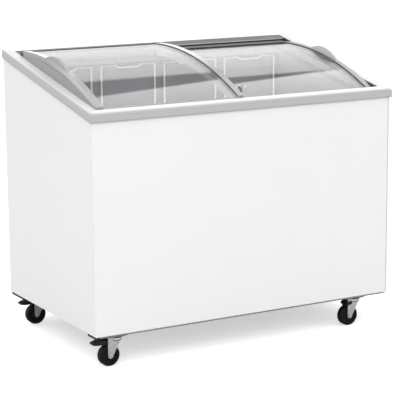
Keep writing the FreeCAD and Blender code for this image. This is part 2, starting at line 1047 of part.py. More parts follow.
def pipe(points):
    """A round tube along straight runs joined by bends of one radius."""
    bend = d.pipe_bend.value
    edges = []
    start = points[0]
    for before, corner, after in zip(points, points[1:], points[2:]):
        back = (before - corner).normalize()
        ahead = (after - corner).normalize()
        half_turn = back.getAngle(ahead) / 2
        leg = bend / math.tan(half_turn)
        entry = corner + back * leg
        leave = corner + ahead * leg
        middle = (back + ahead).normalize()
        crest = corner + middle * (bend / math.sin(half_turn) - bend)
        edges.append(Part.LineSegment(start, entry).toShape())
        edges.append(Part.Arc(entry, crest, leave).toShape())
        start = leave
    edges.append(Part.LineSegment(start, points[-1]).toShape())
    path = Part.Wire(edges)
    ring = Part.Wire(Part.makeCircle(d.pipe_radius.value, points[0], points[1] - points[0]))
    return path.makePipeShell([ring], True, False)


def make_pipes():
    """Discharge over the compressor, liquid line to the drier, and the capillary up to the coil."""
    x, y = (spot.value for spot in compressor_centre())
    left, near = (spot.value for spot in condenser_corner())
    right = left + condenser_span().value
    shell_top = (pan_top + d.foot_height + d.compressor_plate + d.compressor_height).value
    tube_y, tube_low = (spot.value for spot in tube_spot(0, 0))
    tube_high = tube_spot(TUBE_LEVELS - 1, 0)[1].value
    run_high = shell_top + d.pipe_rise.value
    run_left = left - d.pipe_run.value
    run_right = right + d.pipe_run.value
    discharge = pipe(
        [
            Vector(x, y, shell_top),
            Vector(x, y, run_high),
            Vector(run_right, y, run_high),
            Vector(run_right, tube_y, run_high),
            Vector(run_right, tube_y, tube_high),
            Vector(right, tube_y, tube_high),
        ]
    )
    drier_y = near - d.drier_reach.value
    drier_low = tube_low + d.pipe_rise.value
    liquid = pipe(
        [
            Vector(left, tube_y, tube_low),
            Vector(run_left, tube_y, tube_low),
            Vector(run_left, drier_y, tube_low),
            Vector(run_left, drier_y, drier_low),
        ]
    )
    drier_top = drier_low + d.drier_length.value
    capillary = pipe([Vector(run_left, drier_y, drier_top), Vector(run_left, drier_y, machine_top.value)])
    pipes = doc.addObject("Part::Feature", "pipes")
    pipes.Shape = Part.makeCompound([discharge, liquid, capillary])
    node("refrigerant_pipes", pipes)
    can = Part.makeCylinder(d.drier_radius.value, d.drier_length.value, Vector(run_left, drier_y, drier_low))
    drier = doc.addObject("Part::Feature", "drier")
    drier.Shape = can.makeFillet(d.drier_round.value, [edge for edge in can.Edges if edge.isClosed()])
    node("filter_drier", drier)


# Rear fittings
def make_grille():
    (low_x, low_z), (high_x, high_z) = grille_corners()
    flange = d.grille_flange
    plate = between("grille_plate", (low_x, inner_rear, low_z), (high_x, rear, high_z))
    back = between(
        "grille_back",
        (low_x - flange, inner_rear - d.panel, low_z - flange),
        (high_x + flange, inner_rear, high_z + flange),
    )
    inset = d.grille_border
    count = int((d.grille_height - inset).value // d.slot_pitch.value)
    slots = []
    for index in range(count):
        slot_low = low_z + inset + index * d.slot_pitch
        slots.append(
            between(
                f"grille_slot_{index}",
                (low_x + inset, inner_rear - d.grille_flange, slot_low),
                (high_x - inset, rear + d.grille_flange, slot_low + d.slot_pitch - d.grille_bar),
            )
        )
    node("rear_grille", cut("rear_grille", fuse("grille_sheet", plate, back), *slots))


def make_thermostat():
    x, z = thermostat_centre()
    half = d.thermostat_width / 2
    knob_back = rear - d.knob_depth
    well_radius = d.knob_radius + d.knob_gap
    well_back = knob_back - d.knob_gap
    block = between(
        "thermostat_block",
        (x - half, inner_rear - d.thermostat_depth, z - half),
        (x + half, inner_rear, z + half),
    )
    well = rod("thermostat_well", (x, well_back, z), "y", well_radius, d.thermostat_depth)
    bore_radius = d.knob_shaft + d.core_gap
    bore_start = knob_back - d.knob_shaft_length - d.core_gap
    bore = rod("thermostat_bore", (x, bore_start, z), "y", bore_radius, d.thermostat_depth)
    node("thermostat_housing", cut("thermostat_housing", block, well, bore))
    disc = rod("knob_disc", (x, knob_back, z), "y", d.knob_radius, d.knob_depth)
    shaft = rod("knob_stem", (x, knob_back - d.knob_shaft_length, z), "y", d.knob_shaft, d.knob_shaft_length)
    groove = between(
        "knob_groove",
        (x - d.knob_mark_width / 2, rear - d.knob_mark_depth, z),
        (x + d.knob_mark_width / 2, rear + d.knob_mark_depth, z + d.knob_mark),
    )
    node("thermostat_knob", cut("thermostat_knob", fuse("knob", disc, shaft), groove))


def make_gland():
    x, z = gland_centre()
    flange_low = inner_rear - d.gland_flange
    barrel = rod("gland_barrel", (x, flange_low, z), "y", d.gland_radius, d.gland_flange + d.panel)
    flange = rod("gland_flange_disc", (x, flange_low, z), "y", d.gland_flange_radius, d.gland_flange)
    bore = rod("gland_hollow", (x, 0, z), "y", d.gland_bore, d.body_depth)
    node("cord_gland", cut("cord_gland", fuse("gland", barrel, flange), bore))


# Caster rails and casters
def make_rails():
    low = bottom - d.rail_height
    end = side - d.rail_inset - d.end_cap
    caps = []
    for label, near, far in (
        ("front_caster_rail", front + d.rail_inset, front + d.rail_inset + d.front_rail_width),
        ("rear_caster_rail", rear - d.rear_rail_inset - d.rear_rail_width, rear - d.rear_rail_inset),
    ):
        outside = between(f"{label}_outside", (-end, near, low), (end, far, bottom))
        inside = between(
            f"{label}_inside",
            (-end - d.end_cap, near + d.rail_sheet, low + d.rail_sheet),
            (end + d.end_cap, far - d.rail_sheet, bottom + d.rail_sheet),
        )
        corners = caster_corners(label == "front_caster_rail")
        spots = [spot for corner in corners for spot in bolt_spots(*corner)]
        holes = [
            rod(f"{label}_hole_{index}", (x, y, low - d.plate), "z", d.bolt_radius, d.rail_height)
            for index, (x, y) in enumerate(spots)
        ]
        node(label, cut(label, outside, inside, *holes))
        for start, stop in ((-end - d.end_cap, -end), (end, end + d.end_cap)):
            name = f"rail_cap_{len(caps) + 1}"
            caps.append(between(name, (start, near, low), (stop, far, bottom)))
    node("rail_end_caps", group("rail_end_caps", *caps))


def caster_corners(at_front):
    y = front + d.front_inset if at_front else rear - d.rear_inset
    return [(d.left_inset - side, y), (side - d.right_inset, y)]


def bolt_spots(x, y):
    return [(x + d.bolt_spacing / 2 * step, y) for step in (-1, 1)]


def fork_leg(name, x, y, axle_z, crown_low):
    """One flat leg: upright at its front edge, slanting at its rear edge, round at the axle."""
    rise = crown_low - axle_z
    eye = d.fork_eye
    blade = padded(
        f"{name}_blade",
        "XZ_Plane",
        [
            (-eye, 0),
            (eye, 0),
            (d.fork_top_width - eye, rise - d.fork_shoulder),
            (d.fork_top_width - eye, rise),
            (-eye, rise),
        ],
        d.fork_leg,
    )
    place(blade, x - d.trail, y + d.fork_leg, axle_z)
    return [blade, rod(f"{name}_eye", (x - d.trail, y, axle_z), "y", eye, d.fork_leg)]


def make_caster(label, x, y, braked):
    axle_z = d.wheel_radius
    plate_low = bottom - d.rail_height - d.plate
    crown_top = plate_low - d.swivel_gap
    crown_low = crown_top - d.crown
    half_gap = d.fork_gap / 2
    outer = half_gap + d.fork_leg
    parts = fork_leg(f"{label}_near", x, y - outer, axle_z, crown_low)
    parts += fork_leg(f"{label}_far", x, y + half_gap, axle_z, crown_low)
    parts.append(
        between(
            f"{label}_crown",
            (x - d.trail - d.fork_eye, y - outer, crown_low),
            (x + d.crown_radius, y + outer, crown_top),
        )
    )
    parts.append(rod(f"{label}_kingpin", (x, y, crown_low), "z", d.kingpin_radius, d.crown + d.plate))
    parts.append(rod(f"{label}_axle", (x - d.trail, y - outer, axle_z), "y", d.axle_radius, outer * 2))
    if braked:
        pin_x, pin_z = brake_pivot(x)
        parts.append(rod(f"{label}_brake_pin", (pin_x, y - outer, pin_z), "y", d.lever_pin, outer * 2))
    node(f"{label}_fork", fuse(f"{label}_fork", *parts))
    wheel = turned(f"{label}_wheel_body", wheel_outline())
    place(wheel, x - d.trail, y, axle_z)
    node(f"{label}_wheel", wheel)
    if braked:
        node(f"{label}_brake_lever", brake_lever(label, x, y))


def wheel_outline():
    half = d.wheel_width / 2
    dished = half - d.wheel_dish
    bore = d.axle_radius + d.axle_gap
    return [
        (bore, -half),
        (d.hub_radius, -half),
        (d.hub_radius, -dished),
        (d.rim_radius, -dished),
        (d.rim_radius, -half),
        (d.wheel_radius - d.wheel_round, -half),
        (d.wheel_radius, d.wheel_round - half),
        (d.wheel_radius, half - d.wheel_round),
        (d.wheel_radius - d.wheel_round, half),
        (d.rim_radius, half),
        (d.rim_radius, dished),
        (d.hub_radius, dished),
        (d.hub_radius, half),
        (bore, half),
    ]


def brake_pivot(x):
    return x - d.trail + d.fork_eye / 2, (d.lever_low + d.lever_high) / 2


def brake_lever(label, x, y):
    """A pedal that lies over the wheel and tips about a pin in the fork."""
    pin_x, pin_z = brake_pivot(x)
    low = d.lever_low - pin_z
    high = d.lever_high - pin_z
    slant = d.lever_taper - d.lever_length
    tip_low = low + d.lever_tip / 2
    pedal = padded(
        f"{label}_pedal",
        "XZ_Plane",
        [
            (d.lever_tail, low),
            (d.lever_tail, high),
            (slant, high),
            (-d.lever_length, tip_low + d.lever_tip),
            (-d.lever_length, tip_low),
            (slant, low),
        ],
        d.lever_width,
        True,
    )
    place(pedal, pin_x, y, pin_z)
    hole = rod(
        f"{label}_pedal_hole",
        (pin_x, y - d.lever_width, pin_z),
        "y",
        d.lever_pin + d.axle_gap,
        d.lever_width * 2,
    )
    return cut(f"{label}_pedal", pedal, hole)


def make_casters():
    plates = []
    bolts = []
    low = bottom - d.rail_height - d.plate
    for at_front, place_name in ((True, "front"), (False, "rear")):
        for hand, (x, y) in zip(("left", "right"), caster_corners(at_front)):
            label = f"{place_name}_{hand}"
            make_caster(label, x, y, hand == "left")
            sheet_metal = between(
                f"{label}_plate",
                (x - d.plate_length / 2, y - d.plate_width / 2, low),
                (x + d.plate_length / 2, y + d.plate_width / 2, low + d.plate),
            )
            pin_hole = d.kingpin_radius + d.axle_gap
            holes = [rod(f"{label}_plate_hole", (x, y, low - d.plate), "z", pin_hole, d.plate * 3)]
            for index, (bolt_x, bolt_y) in enumerate(bolt_spots(x, y)):
                spot = f"{label}_{index}"
                hole_start = (bolt_x, bolt_y, low - d.plate)
                holes.append(rod(f"plate_bolt_hole_{spot}", hole_start, "z", d.bolt_radius, d.plate * 3))
                head_low = low + d.plate + d.rail_sheet
                shank = rod(f"bolt_shank_{spot}", (bolt_x, bolt_y, low), "z", d.bolt_radius, head_low - low)
                head_start = (bolt_x, bolt_y, head_low)
                head = rod(f"bolt_head_{spot}", head_start, "z", d.bolt_head, d.bolt_head_height)
                bolts.append(fuse(f"bolt_{spot}", shank, head))
            plates.append(cut(f"{label}_plate", sheet_metal, *holes))
    node("caster_plates", group("caster_plates", *plates))
    node("caster_bolts", group("caster_bolts", *bolts))


make_panels()
make_tub()
make_frame()
make_tracks()
make_side_walls()
make_lids()
make_lock()
make_baskets()
make_compressor()
make_condenser()
make_pipes()
make_grille()
make_thermostat()
make_gland()
make_rails()
make_casters()
doc.recompute()

for item in doc.Objects:
    if "Invalid" in item.State or "Error" in item.State:
        raise RuntimeError(f"{item.Label} failed: {item.State}")
for item in nodes:
    if item.Shape.isNull() or not item.Shape.isValid():
        raise RuntimeError(f"{item.Label} has no valid shape")

os.makedirs("parts", exist_ok=True)
for item in nodes:
    item.Shape.exportStep(f"parts/{item.Label}.step")
print(len(nodes), "nodes written")
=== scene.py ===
import json
import math

import bmesh
import bpy
from mathutils import Matrix, Vector


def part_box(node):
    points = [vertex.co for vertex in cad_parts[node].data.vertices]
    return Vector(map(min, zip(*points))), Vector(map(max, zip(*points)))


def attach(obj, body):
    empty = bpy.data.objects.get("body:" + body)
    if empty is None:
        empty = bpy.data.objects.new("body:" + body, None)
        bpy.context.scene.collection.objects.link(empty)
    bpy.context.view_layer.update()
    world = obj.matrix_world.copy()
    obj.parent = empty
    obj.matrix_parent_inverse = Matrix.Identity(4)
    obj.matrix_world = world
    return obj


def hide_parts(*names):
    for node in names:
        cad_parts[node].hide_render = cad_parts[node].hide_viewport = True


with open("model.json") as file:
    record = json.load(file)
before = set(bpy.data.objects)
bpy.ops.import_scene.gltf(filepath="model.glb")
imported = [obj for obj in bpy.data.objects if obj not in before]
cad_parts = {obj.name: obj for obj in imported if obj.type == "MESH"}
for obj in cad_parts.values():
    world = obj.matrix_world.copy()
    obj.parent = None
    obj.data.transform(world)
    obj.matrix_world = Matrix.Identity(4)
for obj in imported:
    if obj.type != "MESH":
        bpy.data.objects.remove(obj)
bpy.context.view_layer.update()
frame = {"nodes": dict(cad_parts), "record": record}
nodes = frame["nodes"]

# The sloping deck that the lids slide on, and the lids' arches over it
DECK_HEIGHT = 0.7954
SLOPE = math.radians(11.45)
SLOPE_SINE = math.sin(SLOPE)
SLOPE_COSINE = math.cos(SLOPE)
LID_RADIUS = 1.010
LID_FORWARD = 0.008
UPPER_RISE = 0.042
LOWER_RISE = 0.020

# Camera at the photograph's place, found from the cabinet's edges
CAMERA_PLACE = (-2.3587, -4.1852, 1.3494)
CAMERA_AZIMUTH = math.radians(29.496)
CAMERA_ELEVATION = math.radians(11.335)
CAMERA_ROLL = math.radians(-0.450)
CAMERA_LENS = 141.79
SENSOR_WIDTH = 36
VIEW_REACH = 60


def make_camera():
    ahead = Vector(
        (
            math.sin(CAMERA_AZIMUTH) * math.cos(CAMERA_ELEVATION),
            math.cos(CAMERA_AZIMUTH) * math.cos(CAMERA_ELEVATION),
            -math.sin(CAMERA_ELEVATION),
        )
    )
    right = Vector((math.cos(CAMERA_AZIMUTH), -math.sin(CAMERA_AZIMUTH), 0))
    up = right.cross(ahead)
    turned_right = math.cos(CAMERA_ROLL) * right + math.sin(CAMERA_ROLL) * up
    turned_up = -math.sin(CAMERA_ROLL) * right + math.cos(CAMERA_ROLL) * up
    axes = Matrix((turned_right, turned_up, -ahead)).transposed()
    data = bpy.data.cameras.new("camera")
    data.sensor_width = SENSOR_WIDTH
    data.lens = CAMERA_LENS
    data.clip_end = VIEW_REACH
    camera = bpy.data.objects.new("camera", data)
    camera.matrix_world = Matrix.Translation(CAMERA_PLACE) @ axes.to_4x4()
    bpy.context.scene.collection.objects.link(camera)
    bpy.context.scene.camera = camera


# What the surfaces have in common: how far noise reaches, and the usual gloss and relief
NOISE_SPAN = (0.25, 0.75)
FINE_DETAIL = 2.0
GLOSS_SPREAD = 0.05
USUAL_GRAIN = 700.0
USUAL_RELIEF = 0.00004
WHITE = (1, 1, 1, 1)


class ShaderTree:
    """Short names for building the node tree of a material or of the world."""

    def __init__(self, owner, output, place):
        owner.use_nodes = True
        self.owner = owner
        self.tree = owner.node_tree
        self.tree.nodes.clear()
        self.output = self.add(output)
        self.where = self.add("ShaderNodeTexCoord").outputs[place]

    def add(self, kind, **settings):
        made = self.tree.nodes.new(kind)
        for name, value in settings.items():
            setattr(made, name, value)
        return made

    def feed(self, value, socket):
        """Links a socket to another node's socket, or sets it to a plain value."""
        if isinstance(value, bpy.types.NodeSocket):
            self.tree.links.new(value, socket)
        else:
            socket.default_value = value

    def fill(self, made, values):
        for name, value in values.items():
            self.feed(value, made.inputs[name])

    def fill_in_order(self, made, values):
        for socket, value in zip(made.inputs, values):
            self.feed(value, socket)

    def maths(self, operation, *values):
        made = self.add("ShaderNodeMath", operation=operation)
        self.fill_in_order(made, values)
        return made.outputs["Value"]

    def ranged(self, value, start, end, low=0.0, high=1.0):
        made = self.add("ShaderNodeMapRange")
        limits = {"From Min": start, "From Max": end, "To Min": low, "To Max": high}
        self.fill(made, {"Value": value, **limits})
        return made.outputs["Result"]

    def mixed(self, factor, first, second, kind="RGBA", blend="MIX"):
        made = self.add("ShaderNodeMix", data_type=kind, blend_type=blend)
        self.fill(made, {"Factor": factor, "A": first, "B": second})
        return made.outputs["Result"]

    def mixed_shader(self, factor, first, second):
        made = self.add("ShaderNodeMixShader")
        self.fill_in_order(made, (factor, first, second))
        return made.outputs["Shader"]

    def axes(self, vector):
        split = self.add("ShaderNodeSeparateXYZ")
        self.feed(vector, split.inputs["Vector"])
        return split.outputs

    def stretched(self, scale):
        mapping = self.add("ShaderNodeMapping")
        self.fill(mapping, {"Vector": self.where, "Scale": scale})
        return mapping.outputs["Vector"]

    def noise(self, scale, detail=3.0, where=None):
        made = self.add("ShaderNodeTexNoise")
        self.fill(made, {"Scale": scale, "Detail": detail, "Vector": where or self.where})
        return made.outputs["Fac"]

    def cells(self, scale):
        made = self.add("ShaderNodeTexVoronoi")
        self.fill(made, {"Scale": scale, "Vector": self.where})
        split = self.add("ShaderNodeSeparateColor")
        self.feed(made.outputs["Color"], split.inputs["Color"])
        return split.outputs

    def span(self, source, low, high):
        return self.ranged(source, *NOISE_SPAN, low, high)

    def shades(self, factor, colour, darkest, palest):
        return self.mixed(factor, shaded(colour, darkest), shaded(colour, palest))

    def relief(self, height, depth):
        made = self.add("ShaderNodeBump")
        self.fill(made, {"Strength": 1.0, "Distance": depth, "Height": height})
        return made.outputs["Normal"]

    def principled(self, metal=0.0, coat=0.0, gloss=0.5):
        made = self.add("ShaderNodeBsdfPrincipled")
        self.fill(made, {"Metallic": metal, "Coat Weight": coat, "Specular IOR Level": gloss})
        self.feed(made.outputs["BSDF"], self.output.inputs["Surface"])
        return made

    def coated(self, shader, colour, cloud, rough, grain=USUAL_GRAIN, depth=USUAL_RELIEF):
        """Gives a shader its colour, a gloss that varies a little, and a fine relief."""
        roughness = self.span(cloud, rough - GLOSS_SPREAD, rough + GLOSS_SPREAD)
        normal = self.relief(self.noise(grain, FINE_DETAIL), depth)
        self.fill(shader, {"Base Color": colour, "Roughness": roughness, "Normal": normal})


def material(name):
    return ShaderTree(bpy.data.materials.new(name), "ShaderNodeOutputMaterial", "Object")


def shaded(colour, share):
    return (*(min(1.0, part * share) for part in colour), 1)


def grey(shade):
    return (shade, shade, shade, 1)


def surface(
    name, colour, rough, vary=0.04, scale=9.0, grain=USUAL_GRAIN, depth=USUAL_RELIEF, coat=0.0, gloss=0.5
):
    """A paint, plastic or rubber: cloudy colour and gloss, with a fine relief."""
    tree = material(name)
    shader = tree.principled(coat=coat, gloss=gloss)
    cloud = tree.noise(scale)
    shades = tree.shades(tree.span(cloud, 0, 1), colour, 1 - vary, 1 + vary)
    tree.coated(shader, shades, cloud, rough, grain, depth)
    return tree.owner


# Galvanised sheet
SPANGLE_CELLS = 170.0
SPANGLE_METAL = 0.75
SPANGLE_SHADES = (0.86, 1.1)
SPANGLE_GLOSS = 0.08
SPANGLE_GRAIN = 420.0
SPANGLE_RELIEF = 0.00003


def spangled(name, colour, rough):
    """Galvanised sheet: crystal cells that differ a little in shade and gloss."""
    tree = material(name)
    shader = tree.principled(metal=SPANGLE_METAL)
    cells = tree.cells(SPANGLE_CELLS)
    values = {
        "Base Color": tree.shades(cells["Red"], colour, *SPANGLE_SHADES),
        "Roughness": tree.span(cells["Green"], rough - SPANGLE_GLOSS, rough + SPANGLE_GLOSS),
        "Normal": tree.relief(tree.noise(SPANGLE_GRAIN), SPANGLE_RELIEF),
    }
    tree.fill(shader, values)
    return tree.owner


# Drawn or brushed metal
DRAWN_DETAIL = 4.0
DRAWN_SHADES = (0.9, 1.06)
DRAWN_SMOOTHER = 0.06
DRAWN_ROUGHER = 0.08
DRAWN_RELIEF = 0.00002


def drawn(name, colour, rough, stretch, metal=1.0):
    """Drawn or brushed metal: fine lines along one direction."""
    tree = material(name)
    shader = tree.principled(metal=metal)
    lines = tree.noise(1.0, DRAWN_DETAIL, tree.stretched(stretch))
    values = {
        "Base Color": tree.shades(tree.span(lines, 0, 1), colour, *DRAWN_SHADES),
        "Roughness": tree.span(lines, rough - DRAWN_SMOOTHER, rough + DRAWN_ROUGHER),
        "Normal": tree.relief(lines, DRAWN_RELIEF),
    }
    tree.fill(shader, values)
    return tree.owner


# Glass: its tint, its faint smears, and the share that it mirrors when seen straight on
GLASS_TINT = (0.972, 0.973, 0.977, 1)
SMEAR_SCALE = 3.0
SMEAR_STRETCH = (0.6, 9.0, 9.0)
SMEAR_ROUGHNESS = (0.01, 0.03)
FACING_BLEND = 0.5
MIRROR_POWER = 5.0
MIRROR_LEAST = 0.04


def clear_glass(name):
    """Thin curved glass: light passes straight through, and the sheen grows towards grazing angles."""
    tree = material(name)
    clear = tree.add("ShaderNodeBsdfTransparent")
    clear.inputs["Color"].default_value = GLASS_TINT
    sheen = tree.add("ShaderNodeBsdfGlossy")
    smear = tree.noise(SMEAR_SCALE, where=tree.stretched(SMEAR_STRETCH))
    tree.fill(sheen, {"Color": WHITE, "Roughness": tree.span(smear, *SMEAR_ROUGHNESS)})
    facing = tree.add("ShaderNodeLayerWeight")
    facing.inputs["Blend"].default_value = FACING_BLEND
    steep = tree.maths("POWER", facing.outputs["Facing"], MIRROR_POWER)
    share = tree.maths("MULTIPLY_ADD", steep, 1 - MIRROR_LEAST, MIRROR_LEAST)
    glass = tree.mixed_shader(share, clear.outputs["BSDF"], sheen.outputs["BSDF"])
    through = tree.add("ShaderNodeBsdfTransparent")
    is_shadow = tree.add("ShaderNodeLightPath").outputs["Is Shadow Ray"]
    lit = tree.mixed_shader(is_shadow, glass, through.outputs["BSDF"])
    tree.feed(lit, tree.output.inputs["Surface"])
    return tree.owner


# Bands under the deck, holding painted highlights and shade: the lower edge of each and its shade
BAND_DEPTH = 0.05
BAND_CLOUD = 14.0
# Rear track: the 0.55 strip is a painted highlight on the land's rounded front edge, and the near-black
# band below it a dark groove with painted shade
REAR_TRACK_BANDS = [
    (-0.05, 0.16),
    (-0.0103, 0.2),
    (-0.0097, 0.02),
    (-0.0045, 0.55),
    (-0.0005, 0.055),
]
# Right side wall: the near-black band along its top is painted shade
SIDE_WALL_BANDS = [(-0.05, 0.5), (-0.015, 0.03)]
# The rim's faces are painted shade: a grey on the same white plastic as its top
RIM_FACE_PAINTED_SHADE = 0.39
RIM_WHITE = 0.88
RIM_BANDS = [(-0.05, RIM_FACE_PAINTED_SHADE), (-0.002, RIM_FACE_PAINTED_SHADE), (-0.0003, RIM_WHITE), (0.0, RIM_WHITE)]
# Trim band: its darker lowest strip is a painted shadow line along its lower edge
TRIM_BANDS = [(-0.05, 0.31), (-0.0222, 0.4)]

# Painted shade on the rim's top: shares of its white at the sides, elsewhere and at the front lip
SIDE_PAINTED_SHADE = 0.78
TOP_SHADE = 0.8
LIP_PAINTED_SHADE = 0.42
LIP_WIDTH = 0.017

# The liner, and how far along the deck a face counts as part of it
LINER_SHADE = (0.315, 0.317, 0.328)
TRACK_FACE = 0.2185
NOWHERE = -1.0


def side_share(tree, place):
    """One on the left and right sides of the rim, up to the mitres at its corners, and nought elsewhere:
    where the rim's painted side shade goes.
    """
    low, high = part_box("top_frame")
    reaches = []
    for axis, start, end in zip("XY", low, high):
        offset = tree.maths("SUBTRACT", place[axis], (start + end) / 2)
        reaches.append(tree.maths("ABSOLUTE", offset))
    lead = tree.maths("SUBTRACT", *reaches)
    return tree.maths("GREATER_THAN", lead, (high[0] - low[0] - high[1] + low[1]) / 2)


def rim_painted_shade(tree, place, along, colour):
    """Painted shade: the rim's top is dimmer at its left and right sides and towards its front lip."""
    sides = tree.mixed(side_share(tree, place), colour, grey(SIDE_PAINTED_SHADE), blend="MULTIPLY")
    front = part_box("top_frame")[0][1] / SLOPE_COSINE
    lip = tree.ranged(along, front, front + LIP_WIDTH, LIP_PAINTED_SHADE, TOP_SHADE)
    dimmed = tree.mixed(1.0, sides, lip, blend="MULTIPLY")
    return tree.mixed(1.0, dimmed, grey(RIM_FACE_PAINTED_SHADE), blend="LIGHTEN")


def banded(name, bands, inside, rough, steps="CONSTANT", rim=False):
    """Bands of tone by depth under the deck, with painted highlights and shade, and a face towards the
    chest like the liner.
    """
    tree = material(name)
    shader = tree.principled()
    place = tree.axes(tree.where)

    def level(across, up, offset):
        shifted = tree.maths("MULTIPLY_ADD", place["Y"], across, offset)
        return tree.maths("MULTIPLY_ADD", place["Z"], up, shifted)

    above = level(-SLOPE_SINE, SLOPE_COSINE, -DECK_HEIGHT * SLOPE_COSINE)
    along = level(SLOPE_COSINE, SLOPE_SINE, -DECK_HEIGHT * SLOPE_SINE)
    ramp = tree.add("ShaderNodeValToRGB")
    ramp.color_ramp.interpolation = steps
    stops = ramp.color_ramp.elements
    while len(stops) < len(bands):
        stops.new(0.5)
    for stop, (low, shade) in zip(stops, bands):
        stop.position = 1 + low / BAND_DEPTH
        stop.color = grey(shade)
    tree.feed(tree.ranged(above, -BAND_DEPTH, 0.0), ramp.inputs["Fac"])
    is_inside = tree.maths("LESS_THAN", along, inside)
    colour = tree.mixed(is_inside, ramp.outputs["Color"], (*LINER_SHADE, 1))
    if rim:
        colour = rim_painted_shade(tree, place, along, colour)
    tree.coated(shader, colour, tree.noise(BAND_CLOUD), rough)
    return tree.owner


# Caps of the caster rails
CAP_GLOSS = 0.2
CAP_CLOUD = 20.0
CAP_GRAIN = 900.0


def end_caps(name, left, right, rough):
    """Black caps at the left end of the caster rails and pale ones at the right end."""
    tree = material(name)
    shader = tree.principled(gloss=CAP_GLOSS)
    is_right = tree.maths("GREATER_THAN", tree.axes(tree.where)["X"], 0.0)
    colour = tree.mixed(is_right, grey(left), grey(right))
    tree.coated(shader, colour, tree.noise(CAP_CLOUD), rough, CAP_GRAIN)
    return tree.owner


# Where the painted light on the lids' profiles changes along their length, and which faces count as their
# left side
PROFILE_FADE = (-0.12, 0.06)
PROFILE_LEFT = -0.7
PROFILE_COAT = 0.2
PROFILE_CLOUD = 12.0


def ended(name, tops, sides, rough):
    """A lid's profile with painted light: its top and left side each have a shade at the front and one at
    the rear.
    """
    tree = material(name)
    shader = tree.principled(coat=PROFILE_COAT)
    along = tree.ranged(tree.axes(tree.where)["Y"], *PROFILE_FADE)
    facing = tree.axes(tree.add("ShaderNodeNewGeometry").outputs["True Normal"])
    is_side = tree.maths("LESS_THAN", facing["X"], PROFILE_LEFT)
    top, side = (tree.mixed(along, grey(front), grey(rear)) for front, rear in (tops, sides))
    colour = tree.mixed(is_side, top, side)
    tree.coated(shader, colour, tree.noise(PROFILE_CLOUD), rough)
    return tree.owner


def make_materials():
    return {
        "white_enamel": surface(
            "white_enamel", (0.722, 0.722, 0.722), 0.36, vary=0.008, grain=260.0, depth=0.00003
        ),
        "galvanised": spangled("galvanised", (0.4, 0.404, 0.408), 0.42),
        "foam": surface("foam", (0.86, 0.79, 0.55), 0.85, vary=0.08, scale=40.0, grain=500.0, depth=0.0004),
        "liner_grey": surface("liner_grey", LINER_SHADE, 0.5, vary=0.03, grain=120.0, depth=0.0002),
        "frame_white": surface(
            "frame_white", (0.88, 0.88, 0.88), 0.34, vary=0.008, grain=500.0, depth=0.00002
        ),
        "trim_grey": surface("trim_grey", (0.4, 0.4, 0.4), 0.4, vary=0.015),
        "track_bands": banded("track_bands", REAR_TRACK_BANDS, TRACK_FACE, 0.42),
        "side_bands": banded("side_bands", SIDE_WALL_BANDS, NOWHERE, 0.42),
        "trim_bands": banded("trim_bands", TRIM_BANDS, NOWHERE, 0.4),
        "rim_bands": banded("rim_bands", RIM_BANDS, NOWHERE, 0.34, "LINEAR", rim=True),
        "gutter_grey": surface("gutter_grey", (0.19, 0.192, 0.196), 0.42, vary=0.02),
        # Near-black rear runners: painted shade under the lids
        "runner_dark": surface("runner_dark", (0.08, 0.08, 0.085), 0.42, vary=0.05),
        "cheek_grey": surface("cheek_grey", (0.295, 0.295, 0.297), 0.42, vary=0.02),
        "lid_glass": clear_glass("lid_glass"),
        "lid_profile": surface("lid_profile", (0.46, 0.465, 0.47), 0.22, vary=0.015, coat=0.4),
        # Profile ends and middle: the pale rear of the top is a painted highlight, and the other front and
        # rear shades are painted light and shade
        "profile_end": ended("profile_end", (0.28, 0.7), (0.5, 0.31), 0.34),
        "profile_middle": ended("profile_middle", (0.26, 0.7), (0.4, 0.4), 0.34),
        "profile_right": surface("profile_right", (0.26, 0.262, 0.266), 0.34, vary=0.015),
        "lid_runner": surface("lid_runner", (0.28, 0.285, 0.29), 0.4, vary=0.02),
        # The two handles are one grey plastic: the right one's lighter grey is painted light, and the left
        # one's darker copy is painted shade
        "handle_grey": surface("handle_grey", (0.54, 0.54, 0.55), 0.38, vary=0.03),
        "handle_painted_shade": surface("handle_painted_shade", (0.33, 0.33, 0.335), 0.45, vary=0.03, gloss=0.3),
        # Near-black half-moon sheets: painted shade under the handles
        "painted_shade_sheet": surface("painted_shade_sheet", (0.07, 0.07, 0.075), 0.5, vary=0.05),
        "seal": surface("seal", (0.06, 0.06, 0.063), 0.55, vary=0.05),
        "lock_metal": drawn("lock_metal", (0.56, 0.56, 0.57), 0.36, (60.0, 60.0, 900.0)),
        "lock_dark": drawn("lock_dark", (0.22, 0.22, 0.22), 0.4, (900.0, 60.0, 60.0), 0.6),
        "basket_wire": surface(
            "basket_wire", (0.95, 0.95, 0.95), 0.34, vary=0.01, grain=1500.0, coat=0.6, gloss=0.9
        ),
        "zinc": spangled("zinc", (0.74, 0.745, 0.75), 0.38),
        # Caster plates near black: painted shade between the plates and the forks
        "plate_painted_shade": spangled("plate_painted_shade", (0.1, 0.101, 0.102), 0.42),
        # Caster rails darker than galvanised: painted shade under the cabinet
        "rail_painted_shade": spangled("rail_painted_shade", (0.22, 0.222, 0.225), 0.5),
        "end_caps": end_caps("end_caps", 0.008, 0.6, 0.5),
        "rail_white": surface("rail_white", (0.6, 0.61, 0.63), 0.35, vary=0.02),
        "copper": drawn("copper", (0.72, 0.36, 0.22), 0.36, (80.0, 80.0, 300.0)),
        "compressor_black": surface("compressor_black", (0.025, 0.025, 0.028), 0.35, vary=0.1),
        "fins": drawn("fins", (0.7, 0.71, 0.72), 0.35, (300.0, 40.0, 40.0)),
        "black_plastic": surface(
            "black_plastic", (0.007, 0.007, 0.0074), 0.42, vary=0.12, grain=900.0, gloss=0.2
        ),
        "black_rubber": surface(
            "black_rubber", (0.005, 0.005, 0.005), 0.55, vary=0.15, scale=30.0, grain=600.0, gloss=0.12
        ),
    }


